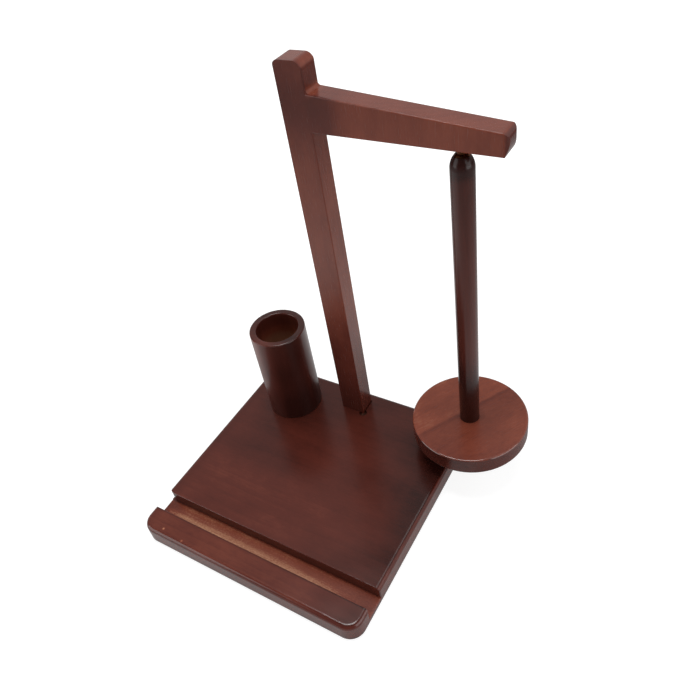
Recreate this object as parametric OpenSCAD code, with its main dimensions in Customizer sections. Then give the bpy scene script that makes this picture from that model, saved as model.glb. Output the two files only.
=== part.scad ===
// Yarn ball holder: a wooden stand with a spindle that hangs by a magnet, a groove for a phone and a tool cup.
// Millimetres. +X is right, +Y is back, +Z is up. The origin is under the base's centre, on the table.

/* [Base board] */
// Width of the base from left to right
base_w = 200; // [160:1:260]
// Depth of the base from front to back
base_d = 200; // [180:1:260]
// Thickness of the base
base_t = 16.5; // [15:0.5:24]
// Radius of the base's four corners, seen from above
base_corner_r = 12; // [6:0.5:20]
// Radius of the rounded edge round the top
base_edge_r = 3.5; // [1:0.25:5]
// Radius of the softened edge round the underside
base_arris_r = 1; // [0.5:0.25:2]

/* [Groove for a phone] */
// Width of the groove from front to back
groove_w = 16; // [10:0.5:24]
// Depth of the groove
groove_depth = 11.8; // [6:0.2:12]
// Width of the strip left in front of the groove
groove_lip = 19.7; // [14:0.1:30]
// Radius of the groove's back corner where it runs out at the left
groove_mouth_left_r = 6; // [1:0.25:8]
// Radius of the groove's back corner where it runs out at the right
groove_mouth_right_r = 1; // [0.5:0.25:8]
// Radius of the groove's front corners where it runs out at the sides
groove_lip_r = 2; // [1:0.25:4]
// Radius of the softened ends of the groove's floor
groove_end_r = 1.2; // [0.4:0.1:2]
// Radius of the softened edges along the groove
groove_edge_r = 0.6; // [0.3:0.1:1]

/* [Post and arm] */
// Thickness of the board that the post and the arm are cut from
board_t = 15.7; // [14:0.1:22]
// Width of the post
post_w = 20.9; // [18:0.1:30]
// Distance of the post's middle from the base's middle, to the left
post_left = 1.4; // [0:0.1:10]
// Distance from the base's back edge to the post's back face
post_back = 8.3; // [6:0.1:20]
// Height of the arm's underside over the base
arm_height = 263.4; // [200:0.1:320]
// Length of the arm from the post to its end
arm_reach = 127.6; // [120:0.1:160]
// Height of the arm where it leaves the post
arm_root_h = 25.3; // [20:0.1:34]
// Height of the arm at its end, before the corner is rounded
arm_tip_h = 14.1; // [13:0.1:18]
// Height of the post's head over the arm
post_head_h = 20.1; // [14:0.1:30]
// Radius of the post's outer top corner
head_outer_r = 4.5; // [2:0.5:6]
// Radius of the post's top corner on the arm's side
head_inner_r = 6; // [2:0.5:8]
// Radius of the upper corner at the arm's end
arm_tip_r = 4.5; // [2:0.5:8]
// Radius of the arm's two end corners, seen from above
arm_end_r = 3.5; // [1:0.25:6]
// Radius of the curve that draws the lower half of the arm's end in
arm_end_curve_r = 20; // [16:1:40]
// Height over the arm's underside at which that curve starts
arm_end_curve_h = 9; // [5:0.5:9]
// Radius of the hollow corner between the post's head and the arm
arm_fillet_r = 2.5; // [2:0.5:8]
// Radius of the softened long edges of the post and the arm
board_edge_r = 0.8; // [0.4:0.1:1.5]

/* [Post pocket] */
// Depth of the pocket in the base that the post stands in
pocket_depth = 8; // [5:0.5:8]
// Clearance round the post's foot
pocket_fit = 0.1; // [0.05:0.05:0.3]
// Open gap beside the post's foot on its right
pocket_gap = 0.8; // [0.3:0.1:1.5]
// Radius of the round relief at the pocket's front right corner
relief_r = 3.3; // [2:0.1:4]

/* [Tool cup] */
// Outer radius of the cup
cup_r = 23.5; // [18:0.5:30]
// Thickness of the cup's wall
cup_wall = 5.6; // [3:0.1:8]
// Height of the cup
cup_h = 87.7; // [60:0.1:120]
// Thickness of the cup's floor
cup_floor = 12; // [11:0.5:20]
// Radius of the rim's two softened edges
cup_rim_r = 1.2; // [0.4:0.1:2]
// Distance of the cup's axis from the base's left edge
cup_in_left = 43.7; // [32:0.1:55]
// Distance of the cup's axis from the base's back edge
cup_in_back = 33.5; // [32:0.1:50]

/* [Spindle] */
// Distance of the spindle's axis from the post along the arm
spindle_out = 97.3; // [92:0.1:110]
// Radius of the rod
rod_r = 7.65; // [7:0.05:10]
// Radius of the curve that draws the rod in to its nose
nose_curve_r = 13; // [12:0.5:24]
// Height of the nose from where it starts to the arm's underside
nose_h = 13.2; // [12:0.1:14]
// Distance from the arm's underside to the top of the disc
disc_drop = 232; // [150:0.5:236]
// Radius of the disc
disc_r = 45.1; // [35:0.1:50]
// Thickness of the disc
disc_t = 15; // [13:0.5:18]
// Radius of the disc's rounded upper edge
disc_edge_r = 1.25; // [1:0.25:5]
// Radius of the disc's rounded lower edge
disc_under_r = 2; // [0.5:0.25:4]
// Depth of the seat in the disc that the rod's foot stands in
disc_seat = 6; // [4:0.5:8]

/* [Magnet and pivot] */
// Radius of the magnet
magnet_r = 4.2; // [3:0.1:4.5]
// Thickness of the magnet
magnet_h = 4; // [2:0.5:5]
// Wall of the steel pot round the magnet
pot_wall = 0.9; // [0.6:0.1:1.2]
// Radius of the pivot ball
ball_r = 2; // [1.8:0.05:2.1]
// Thickness of the seat that the ball turns in
seat_t = 0.45; // [0.3:0.05:0.5]
// Height of the seat's rim over the ball's middle
seat_rim = 0.4; // [0.1:0.1:0.4]
// Angle over level at which the cap's spherical hollow opens
cap_mouth_angle = 26; // [25:1:28]
// Radius of the collar that ends the brass cap
collar_r = 3.3; // [3.1:0.05:3.6]
// Distance from the arm's underside to the foot of the brass cap
cap_drop = 5.2; // [5.2:0.1:6.5]
// Radius of the cap's shank in the rod
shank_r = 2; // [1.5:0.1:2.5]
// Length of the cap's shank
shank_len = 12; // [8:0.5:18]

/* [Screws and feet] */
// Radius of the screws' shanks
screw_r = 2; // [1.5:0.1:2.25]
// Radius of the screws' heads
screw_head_r = 4; // [3.6:0.1:4.5]
// Length of the screws into the piece that they hold
screw_bite = 9; // [6:0.5:9.5]
// Depth of the heads under the face that they are sunk in
screw_sink = 0.3; // [0.1:0.1:0.6]
// Distance between the post's two screws
post_screw_gap = 10.4; // [9.6:0.1:12]
// Radius of the rubber feet
foot_r = 6; // [4:0.5:9]
// Thickness of the rubber feet
foot_h = 1.6; // [1:0.1:3]
// Distance from the base's edges to the feet's middles
foot_inset = 18; // [14:0.5:19]

/* [Hidden] */
$fn = 96;
// Clearance of a shaft or ball that turns in its hole
run_fit = 0.05;
// Clearance of a screw in the piece that it bites
pilot_fit = 0.05;
// Clearance of a screw in the piece that it passes through
pass_fit = 0.25;
// Gap between faces that move past each other
face_gap = 0.2;
// Gap between the ball and the magnet
ball_gap = 0.25;
// Radius of the softened upper edge of the brass collar
collar_edge_r = 0.3;
// Radius of the softened lower edge of the rubber feet
foot_edge_r = 0.5;
// Length of the screws' points
screw_tip_h = 4;
// Width, length and depth of the cross in the screws' heads
cross_w = 1;
cross_len = 4.8;
cross_depth = 1.2;
// Facets round the wide curves that the nose and the arm's end follow
wide_fn = 384;
// Overlap that keeps cuts and joined shapes clean
over = 1;

stain = "#5b2f2a";
stain_light = "#7a473c";
brass_tone = "#7a5a3a";
steel_tone = "#b9bcc0";
magnet_tone = "#8d9094";
nylon_tone = "#e6e2d6";
rubber_tone = "#262626";

base_z = foot_h;
base_top = base_z + base_t;
groove_front_y = -base_d / 2 + groove_lip;
groove_back_y = groove_front_y + groove_w;
groove_floor_z = base_top - groove_depth;

post_x = -post_left;
post_y = base_d / 2 - post_back - board_t / 2;
post_right_x = post_x + post_w / 2;
post_foot_z = base_top - pocket_depth;
arm_z = base_top + arm_height;
arm_end_x = post_right_x + arm_reach;
arm_slope = atan((arm_root_h - arm_tip_h) / arm_reach);
arm_root_z = arm_z + arm_root_h;
post_top_z = arm_root_z + post_head_h;
function arm_top_z(x) = arm_root_z - (x - post_right_x) * tan(arm_slope);

cup_x = -base_w / 2 + cup_in_left;
cup_y = base_d / 2 - cup_in_back;

axis_x = post_right_x + spindle_out;
disc_top_z = arm_z - disc_drop;
rod_foot_z = disc_top_z - disc_seat;
nose_z = arm_z - nose_h;
cap_z = arm_z - cap_drop;
ball_z = arm_z - ball_gap - ball_r;
seat_in_r = ball_r + run_fit;
seat_out_r = seat_in_r + seat_t;
cap_hollow_r = seat_out_r + run_fit;
cap_top_z = ball_z + cap_hollow_r * sin(cap_mouth_angle);
pot_r = magnet_r + pot_wall;
pot_h = magnet_h + pot_wall;
screw_head_h = screw_head_r - screw_r;

// Flat shapes shared by the pieces

// What is cut away to round a corner that points to +X and +Y, with the corner at the origin
module corner_waste(r) {
  translate([-r, -r])
    difference() {
      square(r + over);
      circle(r);
    }
}

// Rectangle that stands on the X axis, with its upper and lower corners rounded
module eased_section(w, h, upper_r, lower_r) {
  difference() {
    translate([-w / 2, 0]) square([w, h]);
    for (side = [0, 1]) mirror([side, 0]) {
      translate([w / 2, h]) corner_waste(upper_r);
      translate([w / 2, 0]) mirror([0, 1]) corner_waste(lower_r);
    }
  }
}

// Right half of that rectangle, to be turned about Z
module eased_half(r, h, upper_r, lower_r) {
  intersection() {
    eased_section(2 * r, h, upper_r, lower_r);
    translate([0, -over]) square([r + over, h + 2 * over]);
  }
}

// Countersunk screw with its head's face at the origin, pointing up
module wood_screw(grip) {
  length = grip + screw_bite;
  difference() {
    rotate_extrude()
      polygon([
        [0, 0], [screw_head_r, 0], [screw_r, screw_head_h], [screw_r, length - screw_tip_h], [0, length]
      ]);
    for (turn = [0, 90]) rotate(turn)
      translate([-cross_len / 2, -cross_w / 2, -over]) cube([cross_len, cross_w, cross_depth + over]);
  }
}

// Clear hole for such a screw through a piece, up from the origin on the piece's face, with its countersink
module screw_passage(thick) {
  mouth_r = screw_head_r + screw_sink + pass_fit;
  hole_r = screw_r + pass_fit;
  translate([0, 0, -over]) cylinder(r = hole_r, h = thick + 2 * over);
  cylinder(r1 = mouth_r, r2 = hole_r, h = mouth_r - hole_r);
  translate([0, 0, -over]) cylinder(r = mouth_r, h = over);
}

// Hole that such a screw bites into, up from the origin
module screw_pilot() {
  translate([0, 0, -over]) cylinder(r = screw_r + pilot_fit, h = screw_bite + 2 * over);
}

// Base board

module base_blank() {
  long_w = base_w - 2 * base_corner_r;
  long_d = base_d - 2 * base_corner_r;
  rotate([90, 0, 0])
    linear_extrude(long_d, center = true) eased_section(base_w, base_t, base_edge_r, base_arris_r);
  rotate([90, 0, 90])
    linear_extrude(long_w, center = true) eased_section(base_d, base_t, base_edge_r, base_arris_r);
  for (x = [-1, 1], y = [-1, 1]) translate([x * long_w / 2, y * long_d / 2])
    rotate_extrude() eased_half(base_corner_r, base_t, base_edge_r, base_arris_r);
}

// The groove seen from above, with corners that open out at the two sides
module groove_plan() {
  translate([-base_w / 2 - over, groove_front_y]) square([base_w + 2 * over, groove_w]);
  for (side = [0, 1]) mirror([side, 0]) translate([base_w / 2, groove_front_y]) corner_waste(groove_lip_r);
  translate([base_w / 2, groove_back_y]) mirror([0, 1]) corner_waste(groove_mouth_right_r);
  translate([-base_w / 2, groove_back_y]) mirror([1, 0]) mirror([0, 1]) corner_waste(groove_mouth_left_r);
}

// The floor's two ends, softened between the groove's walls
module groove_ends() {
  translate([0, groove_front_y + groove_w / 2, groove_floor_z]) rotate([90, 0, 0])
    linear_extrude(groove_w, center = true)
      for (side = [0, 1]) mirror([side, 0]) translate([base_w / 2, 0]) corner_waste(groove_end_r);
}

// The groove's two upper edges, softened along their whole length
module groove_edges() {
  rotate([90, 0, 90]) linear_extrude(base_w + 2 * over, center = true) {
    translate([groove_front_y, base_top]) corner_waste(groove_edge_r);
    translate([groove_back_y, base_top]) mirror([1, 0]) corner_waste(groove_edge_r);
  }
}

// The pocket for the post's foot, with the open gap on its right and the round relief at one corner
module post_pocket() {
  left_x = post_x - post_w / 2 - pocket_fit;
  right_x = post_right_x + pocket_gap;
  front_y = post_y - board_t / 2 - pocket_fit;
  translate([left_x, front_y, post_foot_z])
    cube([right_x - left_x, board_t + 2 * pocket_fit, pocket_depth + over]);
  translate([post_right_x, front_y, post_foot_z]) cylinder(r = relief_r, h = pocket_depth + over);
}

module base_board() {
  color(stain)
    difference() {
      translate([0, 0, base_z]) base_blank();
      translate([0, 0, groove_floor_z]) linear_extrude(groove_depth + over) groove_plan();
      groove_edges();
      groove_ends();
      post_pocket();
      for (side = [-1, 1])
        translate([post_x + side * post_screw_gap / 2, post_y, base_z]) screw_passage(base_t - pocket_depth);
      translate([cup_x, cup_y, base_z]) screw_passage(base_t);
    }
}

// Post and arm

// Upright of the full height, rounded along its edges and at its two top corners
module post_bar() {
  height = post_top_z - post_foot_z;
  intersection() {
    translate([post_x, post_y - board_t / 2, post_foot_z])
      linear_extrude(height) eased_section(post_w, board_t, board_edge_r, board_edge_r);
    translate([post_x, post_y, post_foot_z]) rotate([90, 0, 0])
      linear_extrude(board_t + 2 * over, center = true)
        difference() {
          translate([-post_w / 2 - over, -over]) square([post_w + 2 * over, height + over]);
          translate([post_w / 2, height]) corner_waste(head_inner_r);
          translate([-post_w / 2, height]) mirror([1, 0]) corner_waste(head_outer_r);
        }
  }
}

// What is cut away round the arc of an outer corner at mid, between the two directions that point out of the arc
module arc_waste(mid, r, out_a, out_b) {
  far = r + over;
  translate(mid)
    difference() {
      polygon([[0, 0], far * out_a, far * (out_a + out_b), far * out_b]);
      circle(r);
    }
}

// Side view of the arm: level below and falling above. Its end is rounded at the top and drawn in below
module arm_outline() {
  tip_x = arm_end_x - arm_tip_r;
  tip_mid = [tip_x, arm_top_z(tip_x) - arm_tip_r / cos(arm_slope)];
  curve_mid = [arm_end_x - arm_end_curve_r, arm_z + arm_end_curve_h];
  drop = arm_end_curve_h - board_edge_r;
  reach = arm_end_curve_r - board_edge_r;
  toe = [sqrt(reach * reach - drop * drop), -drop];
  difference() {
    polygon([
      [post_x, arm_z], [arm_end_x, arm_z], [arm_end_x, arm_top_z(arm_end_x) + over], [post_x, arm_top_z(post_x) + over]
    ]);
    arc_waste(tip_mid, arm_tip_r, [sin(arm_slope), cos(arm_slope)], [1, 0]);
    difference() {
      translate([arm_end_x - arm_end_curve_h, arm_z - over]) square(arm_end_curve_h + over);
      translate(curve_mid) circle(arm_end_curve_r, $fn = wide_fn);
    }
    arc_waste(curve_mid + toe, board_edge_r, toe / reach, [0, -1]);
  }
}

// The arm seen from above, with the corners at its end rounded
module arm_plan() {
  difference() {
    translate([post_x, -board_t / 2 - over]) square([arm_end_x - post_x, board_t + 2 * over]);
    for (side = [0, 1]) mirror([0, side]) translate([arm_end_x, board_t / 2]) corner_waste(arm_end_r);
  }
}

// The arm's cross-section is rounded along its lower edges by one bar and along its upper edges by another,
// which leans with the arm's top
module arm_bar() {
  run = arm_end_x - post_x + 2 * over;
  deep = arm_root_h + post_head_h;
  intersection() {
    translate([0, post_y, 0]) rotate([90, 0, 0]) linear_extrude(board_t + 2 * over, center = true) arm_outline();
    translate([0, post_y, arm_z - over]) linear_extrude(deep + 2 * over) arm_plan();
    translate([post_x, post_y, arm_z]) rotate([90, 0, 90])
      linear_extrude(run) eased_section(board_t, deep, board_edge_r, board_edge_r);
    translate([post_right_x, post_y, arm_root_z]) rotate([0, arm_slope, 0])
      translate([-post_w, 0, -deep]) rotate([90, 0, 90])
        linear_extrude(run + post_w) eased_section(board_t, deep, board_edge_r, board_edge_r);
  }
}

// Hollow corner between the post's head and the arm's top
module arm_fillet() {
  mid_x = post_right_x + arm_fillet_r;
  mid_z = arm_top_z(mid_x) + arm_fillet_r / cos(arm_slope);
  foot = [mid_x - arm_fillet_r * sin(arm_slope), mid_z - arm_fillet_r * cos(arm_slope)];
  translate([0, post_y, 0]) rotate([90, 0, 0]) linear_extrude(board_t - 2 * board_edge_r, center = true)
    difference() {
      polygon([
        [post_right_x - over, mid_z], [mid_x, mid_z], foot, foot - [0, over], [post_right_x - over, arm_root_z - over]
      ]);
      translate([mid_x, mid_z]) circle(arm_fillet_r);
    }
}

module post_and_arm() {
  color(stain_light)
    difference() {
      union() {
        post_bar();
        arm_bar();
        arm_fillet();
      }
      translate([axis_x, post_y, arm_z - over]) cylinder(r = pot_r + run_fit, h = pot_h + over);
      for (side = [-1, 1])
        translate([post_x + side * post_screw_gap / 2, post_y, post_foot_z]) screw_pilot();
    }
}

// Tool cup

module tool_cup() {
  color(stain)
    translate([cup_x, cup_y, base_top])
      difference() {
        rotate_extrude()
          difference() {
            eased_half(cup_r, cup_h, cup_rim_r, board_edge_r);
            translate([0, cup_floor]) square([cup_r - cup_wall, cup_h]);
            translate([cup_r - cup_wall, cup_h]) mirror([1, 0]) corner_waste(cup_rim_r);
          }
        screw_pilot();
      }
}

// Spindle

// The nose's outline above the rod: an arc that leaves the rod's side without a kink
module nose_arc(height) {
  intersection() {
    translate([rod_r - nose_curve_r, 0]) circle(nose_curve_r, $fn = wide_fn);
    square([rod_r, height]);
  }
}

module spindle_rod() {
  top_z = cap_z - face_gap;
  color(stain)
    translate([axis_x, post_y, rod_foot_z])
      difference() {
        rotate_extrude() {
          square([rod_r, nose_z - rod_foot_z]);
          translate([0, nose_z - rod_foot_z]) nose_arc(top_z - nose_z);
        }
        translate([0, 0, cap_z - rod_foot_z - shank_len - over])
          cylinder(r = shank_r + run_fit, h = shank_len + 2 * over);
        screw_pilot();
      }
}

module yarn_disc() {
  color(stain_light)
    translate([axis_x, post_y, disc_top_z - disc_t])
      difference() {
        rotate_extrude() eased_half(disc_r, disc_t, disc_edge_r, disc_under_r);
        translate([0, 0, disc_t - disc_seat]) cylinder(r = rod_r + pocket_fit, h = disc_seat + over);
        screw_passage(disc_t - disc_seat);
      }
}

// Magnet and pivot

// Brass cap that ends the nose's curve in a collar, hollowed for the ball's seat, with a shank in the rod
module nose_cap() {
  color(brass_tone)
    translate([axis_x, post_y])
      rotate_extrude() {
        difference() {
          union() {
            translate([0, nose_z])
              difference() {
                nose_arc(ball_z - nose_z);
                square([rod_r, cap_z - nose_z]);
              }
            translate([0, cap_z])
              difference() {
                square([collar_r, cap_top_z - cap_z]);
                translate([collar_r, cap_top_z - cap_z]) corner_waste(collar_edge_r);
              }
          }
          translate([0, ball_z]) circle(cap_hollow_r);
        }
        translate([0, cap_z - shank_len]) square([shank_r, shank_len]);
      }
}

module ball_seat() {
  color(nylon_tone)
    translate([axis_x, post_y, ball_z])
      rotate_extrude()
        intersection() {
          difference() {
            circle(seat_out_r);
            circle(seat_in_r);
          }
          translate([0, -seat_out_r]) square([seat_out_r, seat_out_r + seat_rim]);
        }
}

module pivot_ball() {
  color(steel_tone) translate([axis_x, post_y, ball_z]) sphere(ball_r);
}

module arm_magnet() {
  color(magnet_tone) translate([axis_x, post_y, arm_z]) cylinder(r = magnet_r, h = magnet_h);
}

module magnet_pot() {
  color(steel_tone)
    translate([axis_x, post_y, arm_z])
      difference() {
        cylinder(r = pot_r, h = pot_h);
        translate([0, 0, -over]) cylinder(r = magnet_r + run_fit, h = magnet_h + over);
      }
}

// Screws and feet

module post_screw(side) {
  color(steel_tone)
    translate([post_x + side * post_screw_gap / 2, post_y, base_z + screw_sink])
      wood_screw(base_t - pocket_depth - screw_sink);
}

module cup_screw() {
  color(steel_tone) translate([cup_x, cup_y, base_z + screw_sink]) wood_screw(base_t - screw_sink);
}

module disc_screw() {
  color(steel_tone)
    translate([axis_x, post_y, disc_top_z - disc_t + screw_sink]) wood_screw(disc_t - disc_seat - screw_sink);
}

module foot_pad(x, y) {
  color(rubber_tone)
    translate([x * (base_w / 2 - foot_inset), y * (base_d / 2 - foot_inset), 0])
      rotate_extrude()
        difference() {
          square([foot_r, foot_h]);
          translate([foot_r, 0]) mirror([0, 1]) corner_waste(foot_edge_r);
        }
}

base_board();
post_and_arm();
tool_cup();
spindle_rod();
yarn_disc();
nose_cap();
ball_seat();
pivot_ball();
arm_magnet();
magnet_pot();
post_screw(-1);  // post_screw_left
post_screw(1);  // post_screw_right
cup_screw();
disc_screw();
foot_pad(-1, -1);  // foot_pad_front_left
foot_pad(1, -1);  // foot_pad_front_right
foot_pad(-1, 1);  // foot_pad_back_left
foot_pad(1, 1);  // foot_pad_back_right
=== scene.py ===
"""Looks of a wooden yarn ball holder: stained rubberwood, a brass pivot, screws and rubber feet."""
import math
from collections import namedtuple

import bpy
from mathutils import Matrix, Vector


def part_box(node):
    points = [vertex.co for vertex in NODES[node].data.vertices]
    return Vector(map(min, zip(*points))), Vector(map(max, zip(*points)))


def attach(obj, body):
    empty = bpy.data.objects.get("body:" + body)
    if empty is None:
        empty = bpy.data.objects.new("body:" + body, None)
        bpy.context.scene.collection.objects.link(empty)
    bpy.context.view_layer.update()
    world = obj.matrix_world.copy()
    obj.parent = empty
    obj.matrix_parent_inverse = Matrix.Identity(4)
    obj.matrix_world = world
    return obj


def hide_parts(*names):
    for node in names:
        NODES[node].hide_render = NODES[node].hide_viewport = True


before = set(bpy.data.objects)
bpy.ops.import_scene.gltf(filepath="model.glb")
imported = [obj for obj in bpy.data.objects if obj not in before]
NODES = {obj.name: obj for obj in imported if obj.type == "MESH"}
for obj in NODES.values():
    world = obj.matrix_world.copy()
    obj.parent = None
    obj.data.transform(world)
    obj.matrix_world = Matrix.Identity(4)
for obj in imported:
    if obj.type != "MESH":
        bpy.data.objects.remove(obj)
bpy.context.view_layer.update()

MM = 0.001
PHOTO_PIXELS = 680
SENSOR_MM = 36.0
WHITE = (1, 1, 1, 1)

bl_info = {
    "name": "Yarn Ball Holder",
    "version": (1, 0, 0),
    "blender": (4, 5, 0),
    "location": "View3D > Sidebar > Yarn Holder",
    "description": "Finishes a yarn ball holder's wood, brass, steel and rubber and sets its stage",
    "category": "Object",
}


def linear(colour):
    """sRGB hex text as linear red, green and blue."""
    parts = [int(colour[i:i + 2], 16) / 255 for i in (1, 3, 5)]
    return tuple(c / 12.92 if c <= 0.04045 else ((c + 0.055) / 1.055) ** 2.4 for c in parts)


def rgba(colour):
    """Red, green and blue as an opaque colour."""
    return (*colour, 1.0)


def grey(level):
    """The same level of red, green and blue."""
    return (level, level, level)


def colour_prop(name, description, colour):
    """A property that holds a colour."""
    return bpy.props.FloatVectorProperty(
        name=name, description=description, subtype="COLOR", size=3, min=0, max=1,
        default=linear(colour))


def length_prop(name, description, millimetres, least=0.0):
    """A property that holds a length."""
    return bpy.props.FloatProperty(
        name=name, description=description, unit="LENGTH", min=least * MM,
        default=millimetres * MM)


def angle_prop(name, description, degrees):
    """A property that holds an angle."""
    return bpy.props.FloatProperty(
        name=name, description=description, subtype="ANGLE", default=math.radians(degrees))


def add(tree, kind, inputs=None, stops=None, **settings):
    """Adds a node with its settings and links.

    Inputs name its sockets. They take values, outputs of other nodes, or whole nodes, of which
    the first output is meant. Stops are places and tones along a colour ramp.
    """
    made = tree.nodes.new("ShaderNode" + kind)
    for name, value in settings.items():
        setattr(made, name, value)
    for name, value in (inputs or {}).items():
        if isinstance(value, bpy.types.Node):
            value = value.outputs[0]
        if isinstance(value, bpy.types.NodeSocket):
            tree.links.new(value, made.inputs[name])
        else:
            made.inputs[name].default_value = value
    if stops:
        points = made.color_ramp.elements
        while len(points) < len(stops):
            points.new(0.5)
        for point, (place, tone) in zip(points, stops):
            point.position = place
            point.color = rgba(tone)
    return made


def new_material(name):
    """An empty node material, with its tree and its output."""
    material = bpy.data.materials.new(name)
    material.use_nodes = True
    tree = material.node_tree
    tree.nodes.clear()
    return material, tree, add(tree, "OutputMaterial")


def dress(node, material):
    """Puts a material in a CAD node's slots."""
    for slot in NODES[node].material_slots:
        slot.material = material


# Properties


class YarnHolderWood(bpy.types.PropertyGroup):
    """Stain and grain of the wooden pieces"""
    stain_dark: colour_prop("Thick stain", "Stain where it lies thickest", "#280e0a")
    stain_mid: colour_prop("Stain", "Stain over most of the wood", "#512219")
    stain_light: colour_prop("Thin stain", "Stain that is wiped thin", "#773b2a")
    bare_tan: colour_prop("Bare wood", "Wood that shows where hardly any stain is left", "#b08061")
    ring_gap: length_prop("Ring gap", "Distance between growth rings", 5.5, least=1.0)


class YarnHolderFittings(bpy.types.PropertyGroup):
    """Screws, feet and the bead of lacquer"""
    head_radius: length_prop("Head radius", "Radius of a screw's countersunk head", 3.9)
    shank_radius: length_prop("Shank radius", "Radius of a screw's plain shank", 1.7)
    core_radius: length_prop("Core radius", "Radius of a screw at the root of its thread", 1.3)
    crest_radius: length_prop("Crest radius", "Radius of a screw at the crest of its thread", 1.95)
    pitch: length_prop("Pitch", "Rise of a screw's thread in one turn", 1.5)
    foot_edge: length_prop("Foot edge", "Rounding of a rubber foot's lower edge", 0.5)
    bead_radius: length_prop("Bead radius", "Radius of the lacquer bead at the post's foot", 3.2)


class YarnHolderStage(bpy.types.PropertyGroup):
    """Camera and floor"""
    azimuth: angle_prop("Azimuth", "Camera's angle round the stand from straight in front", 37.86)
    elevation: angle_prop("Elevation", "Camera's angle over level", 41.44)
    roll: angle_prop("Roll", "Camera's turn about its own line of sight", -11.06)
    target: bpy.props.FloatVectorProperty(
        name="Target", description="Point that the camera looks at", subtype="TRANSLATION",
        unit="LENGTH", default=(-30.22 * MM, 113.82 * MM, 59.56 * MM))
    distance: length_prop("Distance", "From the camera to its target", 621.47)
    focal_pixels: bpy.props.FloatProperty(
        name="Focal length", description="Focal length in pixels of the photograph",
        subtype="PIXEL", default=690.53)
    floor_tone: colour_prop("Floor", "Paper that the stand is on", "#f2f2f2")


# Patterns


def mask(tree, *steps):
    """Product of soft steps.

    A step is a pattern with the two values at which it counts as 0 and as 1, or a finished mask
    or level, which is taken as it is.
    """
    product = None
    for step in steps:
        if isinstance(step, tuple):
            pattern, start, end = step
            step = add(tree, "MapRange", {"Value": pattern, "From Min": start, "From Max": end},
                       interpolation_type="SMOOTHSTEP")
        if product is not None:
            step = add(tree, "Math", {0: product, 1: step}, operation="MULTIPLY")
        product = step
    return product


def layered(tree, value, layers):
    """A value with patterns or masks added to it, each by its share."""
    for pattern, share in layers:
        value = add(tree, "Math", {0: pattern, 1: share, 2: value}, operation="MULTIPLY_ADD")
    return value


def grain_noise(tree, place, size, seed, detail=2.0):
    """Noise with patches of the given size in millimetres along the three axes of the wood."""
    scaled = add(tree, "Mapping", {
        "Vector": place, "Location": (seed, 1.7 * seed, 2.3 * seed),
        "Scale": tuple(1 / s for s in size)})
    return add(tree, "TexNoise", {
        "Vector": scaled, "Scale": 1.0, "Detail": detail, "Roughness": 0.5})


def from_line(tree, place, middle):
    """Distance in millimetres from an upright line, which is given by its place in plan."""
    flat = add(tree, "VectorMath", {0: place, 1: (1, 1, 0)}, operation="MULTIPLY")
    return add(
        tree, "VectorMath", {0: flat, 1: (*middle, 0)}, operation="DISTANCE").outputs["Value"]


# Stained wood


# Turns from a piece's axes to the wood's, which have Z along the grain
GRAIN_X = Matrix.Rotation(math.radians(-90), 3, "Y")
GRAIN_Z = Matrix.Identity(3)

# Sizes of the wood's patterns in millimetres, twice across its grain and once along it
BEND, CLOUD, WAVE = (45, 45, 260), (30, 30, 42), (16, 16, 24)
FIBRE, VESSEL = (1.1, 1.1, 60), (0.4, 0.4, 9)
SPECKLE, SCUFF, ORANGE_PEEL = (2.4, 2.4, 4), (0.7, 0.7, 1.6), (1.6, 1.6, 2.2)
BEND_WIDTH = 16

# Dark late wood through one growth ring, from 0 to 1
LATE_WOOD = ((0.0, 0.1), (0.45, 0.25), (0.86, 0.9), (0.93, 1.0), (1.0, 0.1))

# Where a vessel's noise is a pore, a face is end grain, and a face is a rounded edge
PORE, END_GRAIN, EDGE = (0.6, 0.72), (0.5, 0.95), (0.985, 0.94)

LACQUER_IOR = 1.42
USUAL_SHEEN = 0.5
EVEN_SHINE = 0.25
GLOSS_SPREAD = 0.06
PEEL_STRENGTH = 0.6
WAVE_TO_PEEL = 20

# What the marks on a piece go by: its place in millimetres, and the wood's fine patterns
Spot = namedtuple("Spot", "place x y z fibre scuff")


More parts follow.
